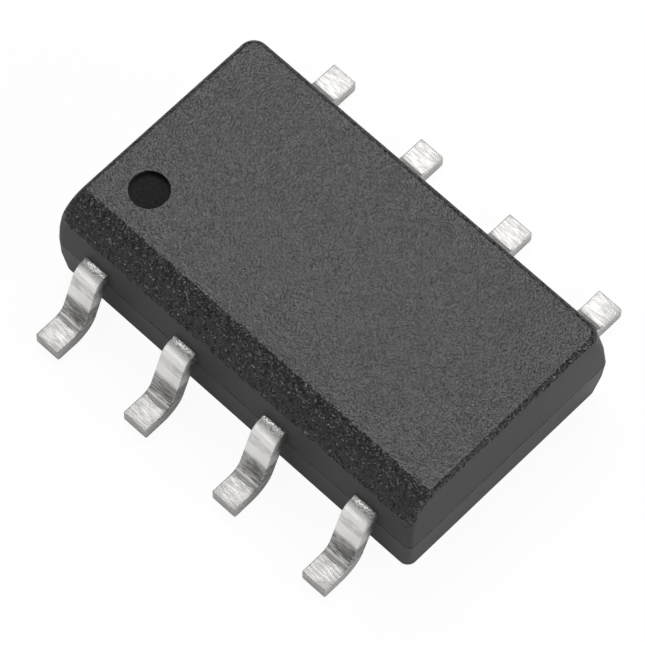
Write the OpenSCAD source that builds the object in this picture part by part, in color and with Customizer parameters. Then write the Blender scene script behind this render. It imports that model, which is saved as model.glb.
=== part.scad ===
// Eight-lead small-outline integrated circuit: a moulded epoxy body round a
// stamped lead frame, with the die, its adhesive and its bond wires inside.
// Sizes are in millimetres. The origin is the centre of the plane that the feet
// stand on. X runs along the lead rows, Y across them and Z up. Lead 1 is at
// -X, -Y, and the leads are numbered counter-clockwise from above.

/* [Moulded body] */
// Length at the parting line, along the lead rows
body_length = 5.05; // [4.9:0.01:5.3]
// Width at the parting line, across the lead rows
body_width = 2.94; // [2.9:0.01:3.1]
// Height of the moulding from its underside to its top
body_height = 1.32; // [1.25:0.01:1.4]
// Gap under the moulding when the feet stand on a board
standoff = 0.07; // [0.05:0.01:0.15]
// Slope of the walls away from vertical, so that the moulding leaves its mould
draft_angle = 5; // [4:0.5:7]
// Radius of the four upright corners at the parting line
corner_radius = 0.16; // [0.15:0.01:0.25]
// Radius along the upper edges
top_fillet = 0.07; // [0.04:0.005:0.07]
// Radius along the lower edges
bottom_fillet = 0.03; // [0.02:0.005:0.05]
// How far the lower half stands back from the upper half at the parting line
parting_ledge = 0.01; // [0.005:0.001:0.02]

/* [Bevel on the pin-1 side] */
// Slope of the bevel below horizontal
bevel_slope = 45; // [30:1:48]
// How far the bevel drops below the top
bevel_drop = 0.23; // [0.15:0.01:0.25]
// Radius of the blend from the bevel into the top
bevel_blend = 0.36; // [0.1:0.01:0.4]

/* [Pin-1 recess] */
// Diameter at the mouth
recess_diameter = 0.44; // [0.3:0.005:0.5]
// Depth below the top
recess_depth = 0.06; // [0.03:0.005:0.08]
// Distance from the centre of the body, along the lead rows
recess_x = 1.945; // [1.8:0.005:2.1]
// Distance from the centre of the body, across the lead rows
recess_y = 0.64; // [0.5:0.005:0.7]

/* [Leads] */
// Distance between neighbouring leads
lead_pitch = 1.27; // [1.27:0.01:1.28]
// Distance over the toes of the two rows
lead_span = 4.42; // [4.38:0.01:4.6]
// Width of a lead outside the body
lead_width = 0.32; // [0.25:0.005:0.4]
// Thickness of the lead-frame sheet
sheet = 0.17; // [0.15:0.005:0.18]
// Height of the sheet's underside, at the parting line of the moulding
frame_z = 0.7; // [0.68:0.01:0.75]
// Angle of the shank below horizontal
shank_angle = 71; // [70.5:0.5:74]
// Inner radius of the bend at the shoulder
shoulder_radius = 0.04; // [0.03:0.005:0.06]
// Inner radius of the bend at the heel
heel_radius = 0.16; // [0.12:0.005:0.165]
// Flat length of the foot, from the heel bend to the toe
foot_length = 0.25; // [0.2:0.01:0.26]
// Radius worn on the toe's lower edge by the trim die
toe_radius = 0.03; // [0.01:0.005:0.05]

/* [Forming mark on the foot] */
// How far into the heel bend the mark's straight edge stands
mark_inside = 0.05; // [0.02:0.005:0.06]
// Depth of the mark below the top of the foot, at its straight edge
mark_depth = 0.006; // [0.004:0.001:0.008]
// Width of the mark at the top of the foot
mark_width = 0.16; // [0.12:0.01:0.18]
// How far the mark runs towards the toe
mark_run = 0.06; // [0.04:0.005:0.08]

/* [Lead frame inside the body] */
// Distance of the finger tips from the centre of the body
finger_tip = 0.8; // [0.75:0.01:0.85]
// Width of a finger's lock head
head_width = 0.5; // [0.4:0.01:0.55]
// Length of the lock head, before it narrows to the lead
head_length = 0.28; // [0.2:0.01:0.35]
// Share of its distance from the middle by which a lock head leans inwards
head_lean = 0.1; // [0:0.01:0.12]
// Length of the die paddle
paddle_length = 2.5; // [2:0.05:2.6]
// Width of the die paddle
paddle_width = 1.24; // [1.1:0.01:1.26]
// How far the paddle is pressed down below the leads
paddle_downset = 0.15; // [0.1:0.01:0.2]
// Width of a tie bar
tie_width = 0.14; // [0.1:0.01:0.2]
// Thickness of a tie bar where it is cut off at the end of the body
tie_tip = 0.06; // [0.04:0.01:0.1]
// How far the cut end of a tie bar sits inside the end of the body
tie_recess = 0.02; // [0.01:0.01:0.05]
// Distance of the tie bars from the middle of the paddle
tie_y = 0.46; // [0:0.01:0.5]

/* [Die and bond wires] */
// Length of the die
die_length = 1.1; // [0.8:0.05:1.4]
// Width of the die
die_width = 0.8; // [0.6:0.05:1]
// Thickness of the die
die_height = 0.2; // [0.15:0.01:0.22]
// Thickness of the adhesive under the die
bond_line = 0.02; // [0.015:0.005:0.03]
// How far the adhesive squeezes out round the die
bond_margin = 0.05; // [0.02:0.01:0.08]
// Diameter of a bond wire
wire_diameter = 0.03; // [0.025:0.005:0.04]
// Diameter of the ball that joins a wire to the die
ball_diameter = 0.08; // [0.06:0.005:0.09]
// Height that a wire's loop climbs above the die
loop_height = 0.13; // [0.08:0.01:0.14]

/* [Hidden] */
leads_per_row = 4;
lead_count = 2 * leads_per_row;

epoxy_black = [0.1, 0.1, 0.105];
tin_silver = [0.78, 0.78, 0.76];
copper_alloy = [0.72, 0.45, 0.3];
silver_epoxy = [0.7, 0.7, 0.72];
silicon_blue = [0.25, 0.28, 0.42];
bond_gold = [0.95, 0.78, 0.3];

// Sides of a revolved surface, steps in a drawn arc, and room past a cut
round_sides = 64;
arc_steps = 8;
past = 0.5;

body_top = standoff + body_height;
frame_top = frame_z + sheet;
upper_height = body_top - frame_z;
lower_height = frame_z - standoff;

// The bevel rises from its lower edge to the blend that carries it into the top
bevel_low_y = body_width / 2 - (upper_height - bevel_drop) * tan(draft_angle);
bevel_width = (bevel_drop + bevel_blend * (1 / cos(bevel_slope) - 1)) / tan(bevel_slope);
blend_centre = [bevel_low_y - bevel_width, body_top - bevel_blend];

// The side view of a lead is drawn outwards from the middle of the body
toe_u = lead_span / 2;
heel_u = toe_u - foot_length;
shoulder_outer = shoulder_radius + sheet;
heel_outer = heel_radius + sheet;
shank_normal = [sin(shank_angle), cos(shank_angle)];
shank_run = (frame_top - shoulder_outer - sheet - heel_radius
    + (shoulder_outer + heel_radius) * shank_normal.y) / tan(shank_angle);
shoulder_u = heel_u - shank_run - (shoulder_outer + heel_radius) * shank_normal.x;
shoulder_centre = [shoulder_u, frame_top - shoulder_outer];
heel_centre = [heel_u, sheet + heel_radius];
neck_u = finger_tip + head_length;

mark_radius = (pow(mark_width / 2, 2) + pow(mark_depth, 2)) / (2 * mark_depth);
mark_tilt = atan2(mark_depth, mark_run);

paddle_z = frame_z - paddle_downset;
attach_z = paddle_z + sheet;
die_z = attach_z + bond_line;
die_top = die_z + die_height;
ball_height = 0.02;
wire_rings = 9;
wire_sides = 8;

// Points on an arc about a centre, from one angle to another
function arc(centre, radius, from, to) = [
    for (i = [0 : arc_steps])
        let (a = from + (to - from) * i / arc_steps)
            centre + radius * [cos(a), sin(a)]
];

// Half the section of a drafted wall that closes with a fillet, from the middle
// of a shape that reaches half_size at its open edge
function wall_section(half_size, height, fillet) =
    let (
        centre_z = height - fillet,
        centre_x = half_size - fillet / cos(draft_angle) - centre_z * tan(draft_angle)
    )
    concat(
        [[0, 0], [half_size, 0]],
        arc([centre_x, centre_z], fillet, draft_angle, 90),
        [[0, height]]
    );

// A point on a cubic curve through four control points
function cubic(p, t) =
    pow(1 - t, 3) * p[0] + 3 * pow(1 - t, 2) * t * p[1]
    + 3 * (1 - t) * pow(t, 2) * p[2] + pow(t, 3) * p[3];

// The direction of that curve
function cubic_direction(p, t) =
    let (
        d = pow(1 - t, 2) * (p[1] - p[0]) + 2 * (1 - t) * t * (p[2] - p[1])
            + pow(t, 2) * (p[3] - p[2])
    )
    d / norm(d);

// How far lead n stands along its row, before its row is turned into place
function lead_x(n) = ((n - 1) % leads_per_row - (leads_per_row - 1) / 2) * lead_pitch;

// Turns the row of leads 5 to 8 to the far side of the body
module row_place(n) {
    rotate([0, 0, n > leads_per_row ? 180 : 0])
        children();
}

// One half of the moulding, standing on its parting plane
module mould_half(length, width, height, fillet) {
    straight_x = length / 2 - corner_radius;
    straight_y = width / 2 - corner_radius;
    for (side = [0, 1]) {
        mirror([side, 0, 0])
            rotate([90, 0, 0])
                linear_extrude(2 * straight_y, center = true)
                    polygon(wall_section(length / 2, height, fillet));
        mirror([0, side, 0])
            rotate([90, 0, 90])
                linear_extrude(2 * straight_x, center = true)
                    polygon(wall_section(width / 2, height, fillet));
    }
    for (mirror_x = [0, 1], mirror_y = [0, 1])
        mirror([mirror_x, 0, 0])
            mirror([0, mirror_y, 0])
                translate([straight_x, straight_y, 0])
                    rotate_extrude(angle = 90, $fn = round_sides)
                        polygon(wall_section(corner_radius, height, fillet));
}

// What the mould leaves out along the pin-1 side
module bevel_cut() {
    blend_end = blend_centre + bevel_blend * [sin(bevel_slope), cos(bevel_slope)];
    outside = [body_width / 2 + past, body_top + past];
    rotate([90, 0, -90])
        linear_extrude(body_length + 2 * past, center = true)
            difference() {
                polygon([
                    [blend_centre.x, outside.y],
                    blend_centre,
                    blend_end,
                    [outside.x, blend_end.y - (outside.x - blend_end.x) * tan(bevel_slope)],
                    outside
                ]);
                translate(blend_centre)
                    circle(bevel_blend, $fn = 4 * round_sides);
            }
}

// The round recess that marks pin 1, narrower at its floor
module pin_1_recess() {
    floor_diameter = recess_diameter - 2 * recess_depth * tan(draft_angle);
    translate([-recess_x, -recess_y, body_top - recess_depth])
        cylinder(d1 = floor_diameter, d2 = recess_diameter, h = recess_depth, $fn = round_sides);
}

module mold_body() {
    color(epoxy_black)
        difference() {
            union() {
                translate([0, 0, frame_z])
                    mould_half(body_length, body_width, upper_height, top_fillet);
                translate([0, 0, frame_z])
                    mirror([0, 0, 1])
                        mould_half(body_length - 2 * parting_ledge, body_width - 2 * parting_ledge,
                            lower_height, bottom_fillet);
            }
            bevel_cut();
            pin_1_recess();
            die_pad();
            for (side = [0, 1])
                mirror([side, 0, 0])
                    tie_bar(body_length / 2 + past);
            die_attach();
            die();
            for (n = [1 : lead_count]) {
                lead(n);
                bond_wire(n);
            }
        }
}

// The bent part of a lead, from its lock head to its toe, seen from the side
module lead_side() {
    shoulder_turn = 90 - shank_angle;
    polygon(concat(
        [[neck_u, frame_z], [neck_u, frame_top]],
        arc(shoulder_centre, shoulder_outer, 90, shoulder_turn),
        arc(heel_centre, heel_radius, 180 + shoulder_turn, 270),
        [[toe_u, sheet]],
        arc([toe_u - toe_radius, toe_radius], toe_radius, 0, -90),
        arc(heel_centre, heel_outer, 270, 180 + shoulder_turn),
        arc(shoulder_centre, shoulder_radius, shoulder_turn, 90)
    ));
}

// The half-moon that the forming punch leaves on the foot
module forming_mark() {
    translate([0, -heel_u + mark_inside, sheet - mark_depth])
        rotate([90 - mark_tilt, 0, 0])
            translate([0, mark_radius, 0])
                cylinder(r = mark_radius, h = 2 * mark_run, $fn = 4 * round_sides);
}

// The wide end of a lead that locks it in the moulding, and takes its bond wire
module lock_head(lean) {
    throat = neck_u + (head_width - lead_width) / 2;
    translate([0, 0, frame_z])
        linear_extrude(sheet)
            polygon([
                [lean - head_width / 2, -finger_tip],
                [lean - head_width / 2, -neck_u],
                [-lead_width / 2, -throat],
                [lead_width / 2, -throat],
                [lean + head_width / 2, -neck_u],
                [lean + head_width / 2, -finger_tip]
            ]);
}

module lead(n) {
    color(tin_silver)
        row_place(n)
            translate([lead_x(n), 0, 0]) {
                difference() {
                    rotate([90, 0, -90])
                        linear_extrude(lead_width, center = true)
                            lead_side();
                    forming_mark();
                }
                lock_head(-head_lean * lead_x(n));
            }
}

// A tie bar, from the lowered paddle up and out to the given distance
module tie_bar(reach) {
    ramp_start = paddle_length / 2 + sheet / 2;
    ramp_end = ramp_start + paddle_downset;
    thin_start = ramp_end + 2 * sheet;
    translate([0, tie_y, 0])
        rotate([90, 0, 0])
            linear_extrude(tie_width, center = true)
                polygon([
                    [paddle_length / 2 - tie_width, paddle_z],
                    [ramp_start, paddle_z],
                    [ramp_end, frame_z],
                    [reach, frame_z],
                    [reach, frame_z + tie_tip],
                    [thin_start, frame_z + tie_tip],
                    [thin_start, frame_top],
                    [ramp_end, frame_top],
                    [ramp_start, attach_z],
                    [paddle_length / 2 - tie_width, attach_z]
                ]);
}

module die_pad() {
    color(copper_alloy) {
        translate([-paddle_length / 2, -paddle_width / 2, paddle_z])
            cube([paddle_length, paddle_width, sheet]);
        for (side = [0, 1])
            mirror([side, 0, 0])
                tie_bar(body_length / 2 - tie_recess);
    }
}

module die_attach() {
    length = die_length + 2 * bond_margin;
    width = die_width + 2 * bond_margin;
    color(silver_epoxy)
        translate([-length / 2, -width / 2, attach_z])
            cube([length, width, bond_line]);
}

module die() {
    color(silicon_blue)
        translate([-die_length / 2, -die_width / 2, die_z])
            cube([die_length, die_width, die_height]);
}

// A bond wire, from its ball on the die over to its lead's lock head. It is drawn
// in the upright plane through its two ends, and its last ring lies on the head.
module bond_wire(n) {
    start = [0.22 * lead_x(n), -die_width / 2 + ball_diameter];
    end = [(1 - head_lean) * lead_x(n), -finger_tip - ball_diameter];
    reach = norm(end - start);
    turn = atan2(end.y - start.y, end.x - start.x);
    controls = [
        [0, die_top + ball_height / 2],
        [0, die_top + 1.6 * loop_height],
        [0.6 * reach, die_top + loop_height],
        [reach, frame_top]
    ];
    radius = wire_diameter / 2;
    points = [
        for (i = [0 : wire_rings])
            let (
                t = i / wire_rings,
                centre = cubic(controls, t),
                way = cubic_direction(controls, t),
                across = i == wire_rings ? [1 / way.y, 0] : [way.y, -way.x]
            )
                for (k = [0 : wire_sides - 1])
                    let (a = 360 * k / wire_sides, c = centre + radius * cos(a) * across)
                        [c.x, radius * sin(a), c.y]
    ];
    sides = [
        for (i = [0 : wire_rings - 1], k = [0 : wire_sides - 1])
            let (next = (k + 1) % wire_sides)
                [
                    i * wire_sides + k,
                    i * wire_sides + next,
                    (i + 1) * wire_sides + next,
                    (i + 1) * wire_sides + k
                ]
    ];
    first_cap = [for (k = [wire_sides - 1 : -1 : 0]) k];
    last_cap = [for (k = [0 : wire_sides - 1]) wire_rings * wire_sides + k];
    color(bond_gold)
        row_place(n)
            translate([start.x, start.y, 0]) {
                translate([0, 0, die_top])
                    cylinder(d = ball_diameter, h = ball_height, $fn = round_sides);
                rotate([0, 0, turn])
                    polyhedron(points, concat([first_cap], sides, [last_cap]));
            }
}

mold_body();
die_pad();
die_attach();
die();
for (n = [1 : lead_count]) {
    lead(n);
    bond_wire(n);
}
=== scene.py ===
"""Eight-lead small-outline chip: the moulded body, its tinned leads and a plain studio."""

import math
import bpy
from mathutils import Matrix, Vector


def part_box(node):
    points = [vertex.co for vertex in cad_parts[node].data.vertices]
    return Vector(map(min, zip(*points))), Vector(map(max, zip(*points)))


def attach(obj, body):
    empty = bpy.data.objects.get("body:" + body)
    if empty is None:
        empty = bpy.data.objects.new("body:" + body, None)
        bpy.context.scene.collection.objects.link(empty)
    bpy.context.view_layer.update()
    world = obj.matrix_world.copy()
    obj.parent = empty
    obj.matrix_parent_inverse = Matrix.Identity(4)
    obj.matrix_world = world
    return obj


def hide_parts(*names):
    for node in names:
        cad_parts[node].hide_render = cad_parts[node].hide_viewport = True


bl_info = {
    "name": "Small-outline chip",
    "version": (1, 0, 0),
    "blender": (4, 5, 0),
    "location": "3D View > Sidebar > Chip",
    "description": "Models an eight-lead surface-mount chip round its construction model",
    "category": "Object",
}

from contextlib import contextmanager

import bmesh
import bpy
from mathutils import Matrix, Vector

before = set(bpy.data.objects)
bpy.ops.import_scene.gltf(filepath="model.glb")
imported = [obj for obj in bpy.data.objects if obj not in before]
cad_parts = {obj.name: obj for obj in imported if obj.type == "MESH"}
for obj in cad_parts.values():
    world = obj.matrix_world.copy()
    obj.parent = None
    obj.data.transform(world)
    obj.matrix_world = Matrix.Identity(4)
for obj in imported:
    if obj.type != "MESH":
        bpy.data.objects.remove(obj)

MM = 0.001
BODY_LOW, BODY_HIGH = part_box("mold_body")
LEAD_LOW, LEAD_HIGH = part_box("lead_1")
PAST = 1 * MM  # room by which a cutter runs past what it cuts
TOUCH = 0.001 * MM  # how near a plane a vertex counts as lying on it
NEAR_TOE = 0.01 * MM  # the same for the lower edge of a toe
RING_MERGE = 0.0002 * MM  # vertices of the body closer than this are one
STRIP_MERGE = 0.0005 * MM  # vertices of a lead closer than this are one
LEADS_PER_ROW = 4

# Sides of round shapes
RING_SIDES = 48
TUBE_SIDES = 32
FINE_SIDES = 96
PUNCH_SIDES = 256

GROOVE_SINK = 1.6  # depth of the parting line, in half widths of it
SMOOTH_BELOW = 35  # degrees by which a shaded edge may turn

# Grains and streaks along a metre
PEBBLES = 17000.0
POWDER = 36000.0
PUNCH_GRAIN = 30000.0
MOTTLE = 60000.0
TIN_STREAKS = 42000.0
TIN_STAINS = 9000.0
INNER_GRAIN = 12000.0
PAPER = 300.0

# Upward part of a normal, where one finish of the compound gives way to the next
LEVEL = (0.99, 0.9998)
TILTED = (0.9998, 0.99)
ABOVE_WALL = (0.15, 0.4)

# Places on a lead where painted shade on the tin fades in and out: by the body, on the foot,
# above the heel and at the end of the upper bend
BODY_ENDS = (1.57 * MM, 1.52 * MM)
FOOT_ENDS = (0.21 * MM, 0.185 * MM)
HEEL_STARTS = (0.2 * MM, 0.215 * MM)
HEEL_ENDS = (0.5 * MM, 0.42 * MM)
BEND_STARTS = (0.6 * MM, 0.64 * MM)
BEND_ENDS = (0.76 * MM, 0.72 * MM)

# Lamps: direction from the chip, width and height in millimetres
LAMPS = {
    "overhead": ((-0.31, 0.36, 0.88), 60, 60),
    "right_wall": ((0.88, 0.34, 0.33), 50, 50),
    "front_tent": ((-0.31, -0.62, 0.72), 90, 80),
    "front_strip": ((-0.31, -0.9, 0.28), 90, 30),
}
LAMP_DISTANCE = 90
LAMP_POWER = 4  # watts from a square metre that shines as white paper does
FLOOR_SIZE = 600 * MM
FLOOR_SEEN_WHITE = 0.95
FLOOR_MIRRORED_WHITE = 0.3


def length(name, description, default_mm):
    """A property that holds a length, given here in millimetres."""
    return bpy.props.FloatProperty(
        name=name, description=description, default=default_mm * MM, min=0.0,
        unit="LENGTH", precision=6,
    )


def colour(name, description, default):
    """A property that holds a colour."""
    return bpy.props.FloatVectorProperty(
        name=name, description=description, default=default, size=3,
        min=0.0, max=1.0, subtype="COLOR",
    )


class ChipBodySizes(bpy.types.PropertyGroup):
    """Sizes of the moulded body."""

    parting_height: length("Parting height", "Height of the parting line", 0.7)
    draft: bpy.props.FloatProperty(
        name="Draft", description="Slope of the walls away from vertical",
        default=math.radians(5), subtype="ANGLE",
    )
    upper_corner: length("Upper corners", "Radius of the upright corners at the top", 0.174)
    middle_corner: length("Middle corners", "Their radius at the parting line", 0.08)
    pin_1_corner: length("Pin-1 corner", "Radius at the parting line by pin 1", 0.14)
    lower_corner: length("Lower corners", "Their radius at the bottom", 0.11)
    corner_swell: length("Corner swell", "How much tighter they are half way up a wall", 0.05)
    bevel_corner: length("Bevel corners", "Their radius at the lower edge of the bevel", 0.16)
    top_fillet: length("Top fillet", "Radius along the upper edges", 0.07)
    bottom_fillet: length("Bottom fillet", "Radius along the lower edges", 0.03)
    bevel_slope: bpy.props.FloatProperty(
        name="Bevel slope", description="Slope of the bevel on the pin-1 side",
        default=math.radians(45), subtype="ANGLE",
    )
    bevel_drop: length("Bevel drop", "How far the bevel drops below the top", 0.23)
    bevel_blend: length("Bevel blend", "Radius that carries the bevel into the top", 0.36)
    crease: length("Bevel crease", "Radius along the bevel's lower edge", 0.04)
    end_fillet: length("Bevel end fillet", "Radius along the ends of the bevel", 0.06)
    groove: length("Parting groove", "Half width of the line round the body", 0.007)
    recess_radius: length("Recess radius", "Radius of the pin-1 recess", 0.22)
    recess_depth: length("Recess depth", "Depth of the pin-1 recess", 0.06)
    recess_x: length("Recess along the row", "Distance from the middle", 1.945)
    recess_y: length("Recess across the rows", "Distance from the middle", 0.64)


class ChipLeadSizes(bpy.types.PropertyGroup):
    """Sizes of a lead."""

    pitch: length("Pitch", "Distance between neighbouring leads", 1.27)
    width: length("Width", "Width of a lead", 0.32)
    sheet: length("Sheet", "Thickness of the lead frame", 0.17)
    shank_angle: bpy.props.FloatProperty(
        name="Shank angle", description="Angle of the shank below horizontal",
        default=math.radians(71), subtype="ANGLE",
    )
    shoulder_radius: length("Shoulder radius", "Inner radius of the upper bend", 0.04)
    heel_radius: length("Heel radius", "Inner radius of the lower bend", 0.16)
    foot_length: length("Foot length", "Flat length of the foot", 0.25)
    toe_radius: length("Toe radius", "Radius under the toe", 0.03)
    edge_radius: length("Edge radius", "Radius that stamping and plating leave", 0.012)
    mark_inside: length("Mark place", "How far into the heel bend the mark starts", 0.05)
    mark_width: length("Mark width", "Width of the forming mark on the foot", 0.16)
    mark_run: length("Mark run", "Length of the forming mark towards the toe", 0.06)
    mark_depth: length("Mark depth", "Depth of the forming mark in the foot", 0.006)
    run_in: length("Run inside", "How far the strip runs on into the body", 0.35)


class ChipFinish(bpy.types.PropertyGroup):
    """Colours of the materials."""

    epoxy: colour("Epoxy", "Moulding compound", (0.012, 0.012, 0.0125))
    tin: colour("Tin", "Matte tin plating", (0.8, 0.79, 0.77))
    copper: colour("Copper", "Bare lead frame", (0.72, 0.4, 0.27))
    silicon: colour("Silicon", "Polished die", (0.16, 0.18, 0.27))
    silver: colour("Silver epoxy", "Adhesive under the die", (0.6, 0.6, 0.62))
    gold: colour("Gold", "Bond wires", (0.95, 0.7, 0.28))


class ChipStudio(bpy.types.PropertyGroup):
    """The camera and the lamps."""

    azimuth: bpy.props.FloatProperty(
        name="Azimuth", description="Turn of the camera round the chip",
        default=math.radians(43.016), subtype="ANGLE",
    )
    elevation: bpy.props.FloatProperty(
        name="Elevation", description="Height of the camera above the horizon",
        default=math.radians(63.963), subtype="ANGLE",
    )
    roll: bpy.props.FloatProperty(
        name="Roll", description="Turn of the camera about its own axis",
        default=math.radians(-1.118), subtype="ANGLE",
    )
    room: bpy.props.FloatProperty(
        name="Room", description="Brightness of the room round the chip", default=0.16,
    )
    overhead: bpy.props.FloatProperty(
        name="Overhead", description="Brightness of the softbox overhead", default=5.0,
    )
    right_wall: bpy.props.FloatProperty(
        name="Right wall", description="Brightness of the softbox at the right", default=6.0,
    )
    front_tent: bpy.props.FloatProperty(
        name="Front tent", description="Brightness of the cloth above the front", default=0.45,
    )
    front_strip: bpy.props.FloatProperty(
        name="Front strip", description="Brightness of the low strip in front", default=1.2,
    )
    aim: bpy.props.FloatVectorProperty(
        name="Aim", description="The point that the camera looks at", size=3,
        default=(-0.0926 * MM, -0.0053 * MM, 0.029 * MM), subtype="TRANSLATION",
        unit="LENGTH", precision=6,
    )
    distance: length("Distance", "From the camera to the point it looks at", 58.852)
    focal: bpy.props.FloatProperty(
        name="Focal length", description="Focal length on a 36 mm sensor", default=318.05,
    )


@contextmanager
def edit_mode(piece):
    """Edit mode on one piece, with nothing selected at the start."""
    bpy.ops.object.select_all(action="DESELECT")
    bpy.context.view_layer.objects.active = piece
    piece.select_set(True)
    bpy.ops.object.mode_set(mode="EDIT")
    bpy.ops.mesh.select_all(action="DESELECT")
    yield
    bpy.ops.object.mode_set(mode="OBJECT")


def select(piece, kind, test):
    """In edit mode, selects just the faces, edges or verts that pass a test."""
    mode = {"faces": "FACE", "edges": "EDGE", "verts": "VERT"}[kind]
    bpy.ops.mesh.select_mode(type=mode)
    bpy.ops.mesh.select_all(action="DESELECT")
    mesh = bmesh.from_edit_mesh(piece.data)
    for part in getattr(mesh, kind):
        if test(part):
            part.select_set(True)
    bmesh.update_edit_mesh(piece.data)


def middle(edge):
    """The middle of an edge."""
    return (edge.verts[0].co + edge.verts[1].co) / 2


def along(edge):
    """The direction of an edge, whichever way it was drawn."""
    way = (edge.verts[1].co - edge.verts[0].co).normalized()
    return Vector(map(abs, way))


def finish_with(piece, kind, **settings):
    """Adds a modifier to a piece and applies it."""
    bpy.ops.object.select_all(action="DESELECT")
    bpy.context.view_layer.objects.active = piece
    piece.select_set(True)
    modifier = piece.modifiers.new(kind.title(), kind)
    for setting, value in settings.items():
        setattr(modifier, setting, value)
    bpy.ops.object.modifier_apply(modifier=modifier.name)


def new_piece(name):
    """Names the primitive just added and puts its place into its mesh."""
    piece = bpy.context.active_object
    piece.name = name
    piece.data.name = name
    bpy.ops.object.transform_apply(location=True, rotation=True, scale=True)
    return piece


def cut_away(piece, cutter):
    """Cuts one piece by another and throws the cutter away."""
    finish_with(piece, "BOOLEAN", object=cutter, operation="DIFFERENCE", solver="EXACT")
    bpy.data.objects.remove(cutter)


def smooth(piece, degrees):
    """Smooth shading across every edge that turns by less than an angle."""
    bpy.ops.object.select_all(action="DESELECT")
    bpy.context.view_layer.objects.active = piece
    piece.select_set(True)
    bpy.ops.object.shade_smooth_by_angle(angle=math.radians(degrees))


def wall_y(height, sizes):
    """Where the wall on the pin-1 side stands at a height above the parting line."""
    return BODY_LOW.y + (height - sizes.parting_height) * math.tan(sizes.draft)


def add_ring(centre, radius, tube, turn, sides=RING_SIDES):
    """Adds a ring that one corner of the body is stretched over."""
    bpy.ops.mesh.primitive_torus_add(
        location=centre, rotation=turn, major_radius=radius, minor_radius=tube,
        major_segments=sides, minor_segments=TUBE_SIDES,
    )
    return bpy.context.active_object


def level_ring(side, end, height, radius, fillet, sizes):
    """A flat ring in one corner, which touches both drafted walls from inside."""
    lean = abs(height - sizes.parting_height) * math.tan(sizes.draft)
    inset = lean + fillet / math.cos(sizes.draft) + radius - fillet
    centre = (end * (BODY_HIGH.x - inset), side * (BODY_HIGH.y - inset), height)
    return add_ring(centre, radius - fillet, fillet, (0, 0, 0))


def bevel_rings(end, sizes):
    """The two rings at one end of the bevel: its blend into the top and its crease."""
    slope, draft, blend = sizes.bevel_slope, sizes.draft, sizes.bevel_blend
    crease_z = BODY_HIGH.z - sizes.bevel_drop
    crease_y = wall_y(crease_z, sizes)
    width = (sizes.bevel_drop + blend * (1 / math.cos(slope) - 1)) / math.tan(slope)
    fillet = sizes.end_fillet
    centre_z = BODY_HIGH.z - fillet - (blend - fillet) * math.cos(draft)
    lean = (centre_z - sizes.parting_height) * math.tan(draft)
    centre_x = end * (BODY_HIGH.x - lean - fillet / math.cos(draft))
    upper = add_ring(
        (centre_x, crease_y + width, centre_z), blend - fillet, fillet,
        (0, math.pi / 2 - end * draft, 0), sides=FINE_SIDES,
    )
    to_wall = Vector((0, -math.cos(draft), math.sin(draft)))
    to_bevel = Vector((0, -math.sin(slope), math.cos(slope)))
    inward = (to_wall + to_bevel) / (1 + to_wall.dot(to_bevel))
    tube = Vector((0, crease_y, crease_z)) - sizes.crease * inward
    lower = level_ring(-1, end, tube.z, sizes.bevel_corner, sizes.crease, sizes)
    return upper, lower


def body_blank(sizes):
    """The body's outer form: a skin stretched over the rings in its corners."""
    rings = []
    low = BODY_LOW.z + sizes.bottom_fillet
    high = BODY_HIGH.z - sizes.top_fillet
    crease = BODY_HIGH.z - sizes.bevel_drop
    line = sizes.parting_height
    for end in (-1, 1):
        for side in (-1, 1):
            by_pin_1 = end < 0 and side < 0
            waist = sizes.pin_1_corner if by_pin_1 else sizes.middle_corner
            upper, top = sizes.upper_corner, high
            if side < 0:
                upper, top = sizes.bevel_corner, crease
            above = (waist + upper) / 2 - sizes.corner_swell
            below = (waist + sizes.lower_corner) / 2 - sizes.corner_swell
            for height, radius, fillet in (
                ((line + top) / 2, above, 0),
                (line, waist, 0),
                ((line + low) / 2, below, 0),
                (low, sizes.lower_corner, sizes.bottom_fillet),
            ):
                rings.append(level_ring(side, end, height, radius, fillet, sizes))
        rings.append(level_ring(1, end, high, sizes.upper_corner, sizes.top_fillet, sizes))
        rings.extend(bevel_rings(end, sizes))
    bpy.ops.object.select_all(action="DESELECT")
    for ring in rings:
        ring.select_set(True)
    bpy.context.view_layer.objects.active = rings[0]
    bpy.ops.object.join()
    body = new_piece("moulded_body")
    with edit_mode(body):
        bpy.ops.mesh.select_all(action="SELECT")
        bpy.ops.mesh.remove_doubles(threshold=RING_MERGE)
        bpy.ops.mesh.convex_hull(join_triangles=False)
        bpy.ops.mesh.select_all(action="SELECT")
        bpy.ops.mesh.normals_make_consistent(inside=False)
        bpy.ops.mesh.dissolve_limited(angle_limit=math.radians(0.2))
    return body


def parting_line(body, sizes):
    """Sinks a fine line into the body where the two halves of the mould met."""
    def at_line(edge):
        return all(abs(vert.co.z - sizes.parting_height) < TOUCH for vert in edge.verts)

    with edit_mode(body):
        select(body, "edges", at_line)
        bpy.ops.mesh.bevel(offset=sizes.groove, segments=2)
        select(body, "edges", at_line)
        bpy.ops.transform.shrink_fatten(value=-GROOVE_SINK * sizes.groove)


def pin_1_recess(body, sizes):
    """Cuts the round recess that marks pin 1."""
    floor = sizes.recess_radius - sizes.recess_depth * math.tan(sizes.draft)
    slope = (sizes.recess_radius - floor) / sizes.recess_depth
    bpy.ops.mesh.primitive_cone_add(
        vertices=FINE_SIDES, radius1=floor, radius2=sizes.recess_radius + slope * PAST,
        depth=sizes.recess_depth + PAST,
        location=(-sizes.recess_x, -sizes.recess_y,
                  BODY_HIGH.z + (PAST - sizes.recess_depth) / 2),
    )
    cut_away(body, new_piece("recess_cutter"))


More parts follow.
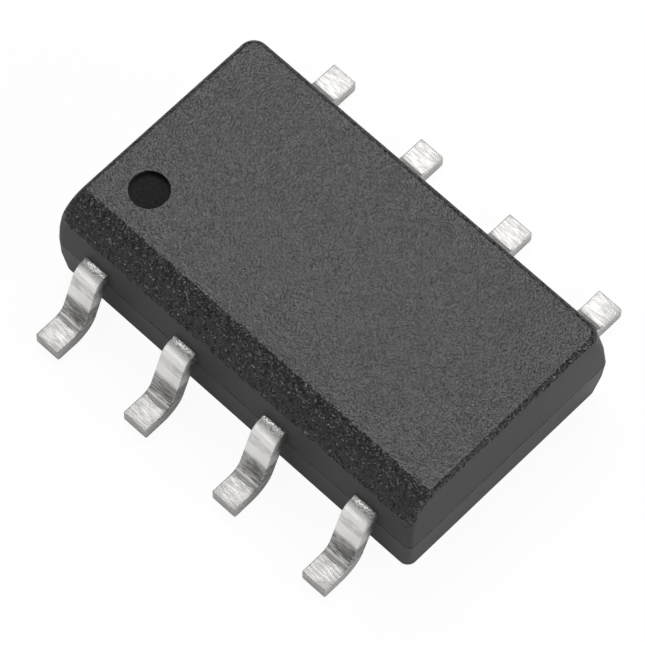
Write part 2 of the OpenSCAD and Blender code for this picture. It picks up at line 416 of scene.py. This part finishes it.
def in_recess(body, sizes):
    """Gives the faces inside the recess the second material."""
    centre = Vector((-sizes.recess_x, -sizes.recess_y))
    deepest = BODY_HIGH.z - 1.1 * sizes.recess_depth
    with edit_mode(body):
        mesh = bmesh.from_edit_mesh(body.data)
        for face in mesh.faces:
            at = face.calc_center_median()
            near = (at.xy - centre).length < sizes.recess_radius
            if near and deepest < at.z < BODY_HIGH.z - TOUCH:
                face.material_index = 1
        bmesh.update_edit_mesh(body.data)


class CHIP_OT_body(bpy.types.Operator):
    """Models the moulded body: drafted halves, bevel, parting line and pin-1 recess"""

    bl_idname = "chip.body"
    bl_label = "Moulded body"

    def execute(self, context):
        sizes = context.scene.chip_body
        body = body_blank(sizes)
        parting_line(body, sizes)
        pin_1_recess(body, sizes)
        smooth(body, SMOOTH_BELOW)
        body.data.materials.append(epoxy_material(context.scene.chip_finish))
        body.data.materials.append(recess_material(context.scene.chip_finish))
        in_recess(body, sizes)
        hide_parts("mold_body")
        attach(body, "root")
        return {"FINISHED"}


def lead_blank(sizes):
    """One lead at the middle of the near row, bent from a strip end to end."""
    heel_y = LEAD_LOW.y + sizes.foot_length
    top = LEAD_HIGH.z
    outer = sizes.shoulder_radius + sizes.sheet
    angle = sizes.shank_angle
    across = outer + sizes.heel_radius
    shank_drop = (
        top - outer - sizes.sheet - sizes.heel_radius + across * math.cos(angle)
    )
    shoulder_y = heel_y + shank_drop / math.tan(angle) + across * math.sin(angle)
    start_y = shoulder_y + sizes.run_in
    bpy.ops.mesh.primitive_plane_add(
        size=1, location=(0, start_y, top - sizes.sheet / 2), rotation=(math.pi / 2, 0, 0)
    )
    lead = bpy.context.active_object
    lead.scale = (sizes.width, sizes.sheet, 1)
    lead = new_piece("lead")
    shank = Vector((0, -math.cos(angle), -math.sin(angle))) * (shank_drop / math.sin(angle))
    with edit_mode(lead):
        bpy.ops.mesh.select_all(action="SELECT")
        extrude(Vector((0, shoulder_y - start_y, 0)))
        spin(-angle, (0, shoulder_y, top - outer))
        extrude(shank)
        spin(angle, (0, heel_y, sizes.sheet + sizes.heel_radius))
        extrude(Vector((0, LEAD_LOW.y - heel_y, 0)))
        bpy.ops.mesh.select_all(action="SELECT")
        bpy.ops.mesh.remove_doubles(threshold=STRIP_MERGE)
        bpy.ops.mesh.normals_make_consistent(inside=False)
    return lead


def round_lead_edges(lead, sizes):
    """Rounds the toe from below, then every other long edge a little."""
    def under_toe(edge):
        at = middle(edge)
        at_toe = at.y < LEAD_LOW.y + NEAR_TOE and at.z < NEAR_TOE
        return at_toe and along(edge).x > 0.9

    with edit_mode(lead):
        select(lead, "edges", under_toe)
        bpy.ops.mesh.bevel(offset=sizes.toe_radius, segments=6, affect="EDGES")
        select(lead, "edges", lambda e: e.calc_face_angle(0) > math.radians(50))
        bpy.ops.mesh.bevel(offset=sizes.edge_radius, segments=3, affect="EDGES")


def forming_mark(lead, sizes):
    """Presses in the half-moon that the forming punch leaves on the foot."""
    half, depth = sizes.mark_width / 2, sizes.mark_depth
    radius = (half ** 2 + depth ** 2) / (2 * depth)
    tilt = math.atan2(depth, sizes.mark_run)
    turn = Matrix.Rotation(math.pi / 2 - tilt, 4, "X")
    start = Vector((0, LEAD_LOW.y + sizes.foot_length + sizes.mark_inside, sizes.sheet - depth))
    middle_of_punch = start + turn @ Vector((0, radius, sizes.mark_run))
    bpy.ops.mesh.primitive_cylinder_add(
        vertices=PUNCH_SIDES, radius=radius, depth=2 * sizes.mark_run,
        location=middle_of_punch, rotation=turn.to_euler(),
    )
    cut_away(lead, new_piece("punch"))


def extrude(offset):
    """Draws the selected end of the strip out by an offset."""
    bpy.ops.mesh.extrude_region_move(TRANSFORM_OT_translate={"value": offset})


def spin(angle, centre, steps=12):
    """Bends the selected end of the strip round a centre."""
    bpy.ops.mesh.spin(steps=steps, angle=angle, center=centre, axis=(1, 0, 0))


class CHIP_OT_leads(bpy.types.Operator):
    """Bends one gull-wing lead and copies it to its eight places"""

    bl_idname = "chip.leads"
    bl_label = "Leads"

    def execute(self, context):
        sizes = context.scene.chip_leads
        pattern = lead_blank(sizes)
        round_lead_edges(pattern, sizes)
        forming_mark(pattern, sizes)
        smooth(pattern, SMOOTH_BELOW)
        tin = tin_material(context.scene.chip_finish)
        pattern.data.materials.append(tin)
        for number in range(1, 2 * LEADS_PER_ROW + 1):
            name = f"lead_{number}"
            near = number <= LEADS_PER_ROW
            along_row = ((number - 1) % LEADS_PER_ROW - (LEADS_PER_ROW - 1) / 2) * sizes.pitch
            mesh = pattern.data.copy()
            mesh.transform(Matrix.Translation((along_row, 0, 0)))
            if not near:
                mesh.transform(Matrix.Rotation(math.pi, 4, "Z"))
            lead = bpy.data.objects.new(f"tinned_{name}", mesh)
            context.scene.collection.objects.link(lead)
            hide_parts(name)
            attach(lead, "root")
        bpy.data.objects.remove(pattern)
        return {"FINISHED"}


def add_node(tree, kind, inputs=None, **settings):
    """Adds a node with its settings, and sets or links its inputs."""
    node = tree.nodes.new(kind)
    for setting, value in settings.items():
        setattr(node, setting, value)
    for name, value in (inputs or {}).items():
        if isinstance(value, bpy.types.NodeSocket):
            tree.links.new(value, node.inputs[name])
        else:
            node.inputs[name].default_value = value
    return node


def calculate(tree, operation, *values):
    """A Math node's result."""
    node = add_node(tree, "ShaderNodeMath", dict(enumerate(values)), operation=operation)
    return node.outputs[0]


def fade(tree, value, start, end, low=0.0, high=1.0):
    """A smooth step from low to high as a value goes from start to end."""
    node = add_node(tree, "ShaderNodeMapRange", {
        "Value": value, "From Min": start, "From Max": end, "To Min": low, "To Max": high,
    }, interpolation_type="SMOOTHSTEP")
    return node.outputs[0]


def band(tree, value, rise, fall):
    """A mask that fades in over one stretch of a value and out over another."""
    return calculate(tree, "MULTIPLY", fade(tree, value, *rise), fade(tree, value, *fall))


def blend_colours(tree, share, first, second):
    """A colour between two, by a share."""
    # A Mix node keeps its colours in sockets 6 and 7, and their blend in output 2
    sockets = {0: share, 6: first, 7: second}
    return add_node(tree, "ShaderNodeMix", sockets, data_type="RGBA").outputs[2]


def noise(tree, place, scale, detail=2.0):
    """Noise whose grains are about 1 / scale across."""
    inputs = {"Vector": place, "Scale": scale, "Detail": detail}
    return add_node(tree, "ShaderNodeTexNoise", inputs).outputs["Fac"]


def effect(name, inputs, outputs):
    """The node group of that name, and its ends if it is still to be built."""
    group = bpy.data.node_groups.get(name)
    if group:
        return group, None, None
    group = bpy.data.node_groups.new(name, "ShaderNodeTree")
    for socket, (kind, default) in inputs.items():
        made = group.interface.new_socket(socket, in_out="INPUT", socket_type=kind)
        if default is not None:
            made.default_value = default
    for socket in outputs:
        group.interface.new_socket(socket, in_out="OUTPUT", socket_type="NodeSocketFloat")
    return group, group.nodes.new("NodeGroupInput"), group.nodes.new("NodeGroupOutput")


def grain_effect():
    """Pebbly grain that a spark-eroded mould leaves: its height and a speckle."""
    group, start, end = effect("Moulded grain", {
        "Place": ("NodeSocketVector", None),
        "Grains": ("NodeSocketFloat", 20000.0),
    }, ("Height", "Speckle"))
    if start:
        grains = start.outputs["Grains"]
        pebbles = noise(group, start.outputs["Place"], grains, detail=0.5)
        fine = calculate(group, "MULTIPLY", grains, 2.6)
        dust = noise(group, start.outputs["Place"], fine, detail=0.0)
        height = calculate(group, "MULTIPLY_ADD", dust, 0.35, pebbles)
        group.links.new(height, end.inputs["Height"])
        group.links.new(fade(group, dust, 0.35, 0.65), end.inputs["Speckle"])
    return group


def streak_effect():
    """Streaks drawn out along one axis of a rolled or plated sheet."""
    group, start, end = effect("Streaks", {
        "Place": ("NodeSocketVector", None),
        "Streaks": ("NodeSocketFloat", 20000.0),
        "Along": ("NodeSocketVector", (0.2, 1.0, 1.0)),
    }, ("Streaks",))
    if start:
        mapping = add_node(group, "ShaderNodeVectorMath", {
            0: start.outputs["Place"], 1: start.outputs["Along"],
        }, operation="MULTIPLY")
        coarse = noise(group, mapping.outputs[0], start.outputs["Streaks"], detail=3.0)
        group.links.new(fade(group, coarse, 0.3, 0.7), end.inputs["Streaks"])
    return group


def stain_effect():
    """Soft-edged stains with clean metal between them."""
    group, start, end = effect("Stains", {
        "Place": ("NodeSocketVector", None),
        "Size": ("NodeSocketFloat", 4000.0),
        "Cover": ("NodeSocketFloat", 0.4),
    }, ("Mask",))
    if start:
        blots = noise(group, start.outputs["Place"], start.outputs["Size"], detail=4.0)
        edge = calculate(group, "SUBTRACT", 1.0, start.outputs["Cover"])
        soft = calculate(group, "ADD", edge, 0.15)
        group.links.new(fade(group, blots, edge, soft), end.inputs["Mask"])
    return group


def use_effect(tree, group, inputs):
    """Places an effect in a material."""
    return add_node(tree, "ShaderNodeGroup", inputs, node_tree=group).outputs


def new_material(name, **sockets):
    """A node material, its tree, its shader and the place on the piece."""
    material = bpy.data.materials.new(name)
    material.use_nodes = True
    tree = material.node_tree
    shader = tree.nodes["Principled BSDF"]
    for socket, value in sockets.items():
        shader.inputs[socket.replace("_", " ")].default_value = value
    place = tree.nodes.new("ShaderNodeTexCoord").outputs["Object"]
    return material, tree, shader, place


def relief(tree, shader, height, depth):
    """Lets a height carry the light, over a depth."""
    bump = add_node(tree, "ShaderNodeBump", {"Height": height, "Distance": depth})
    tree.links.new(bump.outputs[0], shader.inputs["Normal"])


def epoxy_material(finish):
    """Black moulding compound, pebbly on the top and its edges, smooth on the walls."""
    material, tree, shader, place = new_material("moulding_compound", Roughness=0.45)
    up = add_node(tree, "ShaderNodeSeparateXYZ", {
        0: tree.nodes.new("ShaderNodeNewGeometry").outputs["Normal"],
    }).outputs["Z"]
    sloping = band(tree, up, TILTED, ABOVE_WALL)
    flat = fade(tree, up, *LEVEL)
    pebbles = use_effect(tree, grain_effect(), {"Place": place, "Grains": PEBBLES})
    powder = use_effect(tree, grain_effect(), {"Place": place, "Grains": POWDER})
    share = calculate(tree, "MULTIPLY", sloping, 1.9)
    strong = calculate(tree, "MULTIPLY", pebbles["Height"], share)
    weak = calculate(tree, "MULTIPLY_ADD", flat, 0.22, 0.04)
    height = calculate(tree, "MULTIPLY_ADD", powder["Height"], weak, strong)
    relief(tree, shader, height, 0.04 * MM)
    satin = fade(tree, up, *ABOVE_WALL, 0.55, 0.3)
    share = fade(tree, up, *ABOVE_WALL, 0.04, 0.12)
    speck = calculate(tree, "MULTIPLY", powder["Speckle"], share)
    tree.links.new(calculate(tree, "ADD", satin, speck), shader.inputs["Roughness"])
    light = [1.35 * part for part in finish.epoxy]
    dark = [0.7 * part for part in finish.epoxy]
    tree.links.new(
        blend_colours(tree, powder["Speckle"], (*dark, 1), (*light, 1)),
        shader.inputs["Base Color"],
    )
    return material


def recess_material(finish):
    """The same compound on the floor of the recess, left dull by its punch."""
    material, tree, shader, place = new_material(
        "recess_compound", Roughness=0.75, Specular_IOR_Level=0.2,
    )
    grain = use_effect(tree, grain_effect(), {"Place": place, "Grains": PUNCH_GRAIN})
    relief(tree, shader, grain["Height"], 0.015 * MM)
    dark = [0.35 * part for part in finish.epoxy]
    tree.links.new(
        blend_colours(tree, grain["Speckle"], (*dark, 1), (*finish.epoxy, 1)),
        shader.inputs["Base Color"],
    )
    return material


def tin_material(finish):
    """Matte tin: random streaks, stains and mottle, rougher on the foot, with painted shade by
    the body, above the heel, at the end of the upper bend and on the foot.
    """
    material, tree, shader, place = new_material("matte_tin", Metallic=1.0)
    streaks = use_effect(tree, streak_effect(), {"Place": place, "Streaks": TIN_STREAKS})
    stains = use_effect(tree, stain_effect(), {
        "Place": place, "Size": TIN_STAINS, "Cover": 0.35,
    })
    parts = add_node(tree, "ShaderNodeSeparateXYZ", {0: place}).outputs
    out = calculate(tree, "ABSOLUTE", parts["Y"])
    high = parts["Z"]
    # The foot, where painted shade dims the tin's reflection of the overhead lamp and the
    # roughness rises
    on_foot = fade(tree, high, *FOOT_ENDS)
    by_body = fade(tree, out, *BODY_ENDS)
    mottle = fade(tree, noise(tree, place, MOTTLE, detail=1.0), 0.35, 0.65)
    # A band above the heel, which gets painted shade
    heel_shade = band(tree, high, HEEL_STARTS, HEEL_ENDS)
    # A band at the end of the upper bend, which gets painted shade
    upper = band(tree, high, BEND_STARTS, BEND_ENDS)
    lines = streaks["Streaks"]
    # Painted shade by the body, broken up by random mottle
    shade_and_grain = calculate(tree, "MULTIPLY_ADD", mottle, 0.5, 0.1)
    shade_and_stains = calculate(tree, "MULTIPLY", by_body, shade_and_grain)
    # Each zone's painted shade: an even share, with random streaks in it
    for zone, streaked, even_shade in ((heel_shade, 0.35, 0.4), (upper, 0.25, 0.08), (on_foot, 0.06, 0.42)):
        shade_and_grain = calculate(tree, "MULTIPLY_ADD", lines, streaked, even_shade)
        shade_and_stains = calculate(tree, "ADD", shade_and_stains, calculate(tree, "MULTIPLY", zone, shade_and_grain))
    shade_and_stains = calculate(tree, "MULTIPLY_ADD", stains["Mask"], 0.06, shade_and_stains)
    shade_and_stains = calculate(tree, "MULTIPLY_ADD", lines, 0.05, shade_and_stains)
    # The tin goes towards black by painted shade, random stains and streaks
    tree.links.new(
        blend_colours(tree, shade_and_stains, (*finish.tin, 1), (0.0, 0.0, 0.0, 1)),
        shader.inputs["Base Color"],
    )
    dull = calculate(tree, "MULTIPLY_ADD", lines, 0.08, 0.33)
    dull = calculate(tree, "MULTIPLY_ADD", on_foot, 0.15, dull)
    tree.links.new(dull, shader.inputs["Roughness"])
    relief(tree, shader, calculate(tree, "ADD", lines, mottle), 0.0005 * MM)
    return material


def inner_material(name, tone, roughness, metallic, streaky):
    """A finish for a piece inside the body."""
    material, tree, shader, place = new_material(name, Metallic=metallic)
    if streaky:
        group, size, mask = streak_effect(), "Streaks", "Streaks"
    else:
        group, size, mask = grain_effect(), "Grains", "Speckle"
    vary = use_effect(tree, group, {"Place": place, size: INNER_GRAIN})[mask]
    dark = [0.8 * part for part in tone]
    tree.links.new(
        blend_colours(tree, vary, (*tone, 1), (*dark, 1)), shader.inputs["Base Color"],
    )
    tree.links.new(
        calculate(tree, "MULTIPLY_ADD", vary, 0.15, roughness), shader.inputs["Roughness"],
    )
    return material


class CHIP_OT_inside(bpy.types.Operator):
    """Finishes the paddle, the adhesive, the die and the bond wires inside the body"""

    bl_idname = "chip.inside"
    bl_label = "Inner pieces"

    def execute(self, context):
        finish = context.scene.chip_finish
        finishes = {
            "die_pad": inner_material("bare_copper", finish.copper, 0.3, 1.0, True),
            "die_attach": inner_material("silver_epoxy", finish.silver, 0.45, 0.6, False),
            "die": inner_material("silicon", finish.silicon, 0.15, 0.5, False),
        }
        gold = inner_material("bond_gold", finish.gold, 0.2, 1.0, True)
        for number in range(1, 2 * LEADS_PER_ROW + 1):
            finishes[f"bond_wire_{number}"] = gold
        for name, material in finishes.items():
            for slot in bpy.data.objects[name].material_slots:
                slot.material = material
        return {"FINISHED"}


def floor_material():
    """A pale floor, white to the camera and in reflections, with the chip's shadow."""
    material, tree, shader, place = new_material("pale_floor", Roughness=0.9)
    paper = noise(tree, place, PAPER)
    tree.links.new(
        blend_colours(tree, paper, (0.88, 0.88, 0.88, 1), (0.92, 0.92, 0.92, 1)),
        shader.inputs["Base Color"],
    )
    white = add_node(tree, "ShaderNodeEmission", {"Strength": 1.0})
    ray = tree.nodes.new("ShaderNodeLightPath").outputs
    mirrored = calculate(tree, "MAXIMUM", ray["Is Glossy Ray"], ray["Is Transmission Ray"])
    seen = calculate(tree, "MULTIPLY", ray["Is Camera Ray"], FLOOR_SEEN_WHITE)
    mirrored = calculate(tree, "MULTIPLY", mirrored, FLOOR_MIRRORED_WHITE)
    share = calculate(tree, "MAXIMUM", seen, mirrored)
    mix = add_node(tree, "ShaderNodeMixShader", {
        0: share, 1: shader.outputs[0], 2: white.outputs[0],
    })
    tree.links.new(mix.outputs[0], tree.nodes["Material Output"].inputs["Surface"])
    return material


def softbox(name, way, width, height, brightness):
    """A lamp whose face shines as brightly as white paper times its brightness."""
    light = bpy.data.lights.new(name, "AREA")
    light.shape = "RECTANGLE"
    light.size = width * MM
    light.size_y = height * MM
    light.energy = LAMP_POWER * brightness * light.size * light.size_y
    lamp = bpy.data.objects.new(name, light)
    lamp.location = Vector(way).normalized() * LAMP_DISTANCE * MM
    lamp.rotation_mode = "QUATERNION"
    lamp.rotation_quaternion = lamp.location.to_track_quat("Z", "Y")
    bpy.context.scene.collection.objects.link(lamp)


class CHIP_OT_stage(bpy.types.Operator):
    """Sets up the floor, the lamps, the world and the camera"""

    bl_idname = "chip.stage"
    bl_label = "Studio"

    def execute(self, context):
        studio = context.scene.chip_studio
        bpy.ops.mesh.primitive_plane_add(size=FLOOR_SIZE, location=(0, 0, 0))
        floor = new_piece("floor")
        floor.data.materials.append(floor_material())

        world = bpy.data.worlds.new("studio")
        world.use_nodes = True
        context.scene.world = world
        world.node_tree.nodes["Background"].inputs["Strength"].default_value = studio.room

        for name, (way, width, height) in LAMPS.items():
            softbox(name, way, width, height, getattr(studio, name))

        azimuth, elevation = studio.azimuth, studio.elevation
        back = Vector((
            math.sin(azimuth) * math.cos(elevation),
            -math.cos(azimuth) * math.cos(elevation),
            math.sin(elevation),
        ))
        right = Vector((math.cos(azimuth), math.sin(azimuth), 0))
        up = back.cross(right)
        turn = Matrix((right, up, back)).transposed().to_4x4()
        turn = turn @ Matrix.Rotation(-studio.roll, 4, "Z")
        aim = Vector(studio.aim)
        lens = bpy.data.cameras.new("camera")
        lens.lens = studio.focal
        lens.sensor_width = 36
        lens.clip_start = 1 * MM
        lens.clip_end = 1000 * MM
        camera = bpy.data.objects.new("camera", lens)
        camera.matrix_world = Matrix.Translation(aim + studio.distance * back) @ turn
        context.scene.collection.objects.link(camera)
        context.scene.camera = camera
        context.scene.view_settings.view_transform = "Standard"
        return {"FINISHED"}


class CHIP_PT_panel(bpy.types.Panel):
    """The chip's steps, in order."""

    bl_label = "Small-outline chip"
    bl_idname = "CHIP_PT_panel"
    bl_space_type = "VIEW_3D"
    bl_region_type = "UI"
    bl_category = "Chip"

    def draw(self, context):
        for operator in OPERATORS:
            self.layout.operator(operator.bl_idname)


GROUPS = {
    "chip_body": ChipBodySizes,
    "chip_leads": ChipLeadSizes,
    "chip_finish": ChipFinish,
    "chip_studio": ChipStudio,
}
OPERATORS = (CHIP_OT_body, CHIP_OT_leads, CHIP_OT_inside, CHIP_OT_stage)


def register():
    for group in GROUPS.values():
        bpy.utils.register_class(group)
    for name, group in GROUPS.items():
        setattr(bpy.types.Scene, name, bpy.props.PointerProperty(type=group))
    for each in (*OPERATORS, CHIP_PT_panel):
        bpy.utils.register_class(each)


def unregister():
    for each in (CHIP_PT_panel, *reversed(OPERATORS)):
        bpy.utils.unregister_class(each)
    for name in GROUPS:
        delattr(bpy.types.Scene, name)
    for group in reversed(GROUPS.values()):
        bpy.utils.unregister_class(group)


def main():
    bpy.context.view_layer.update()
    register()
    bpy.ops.chip.body()
    bpy.ops.chip.leads()
    bpy.ops.chip.inside()
    bpy.ops.chip.stage()


if __name__ == "__main__":
    main()
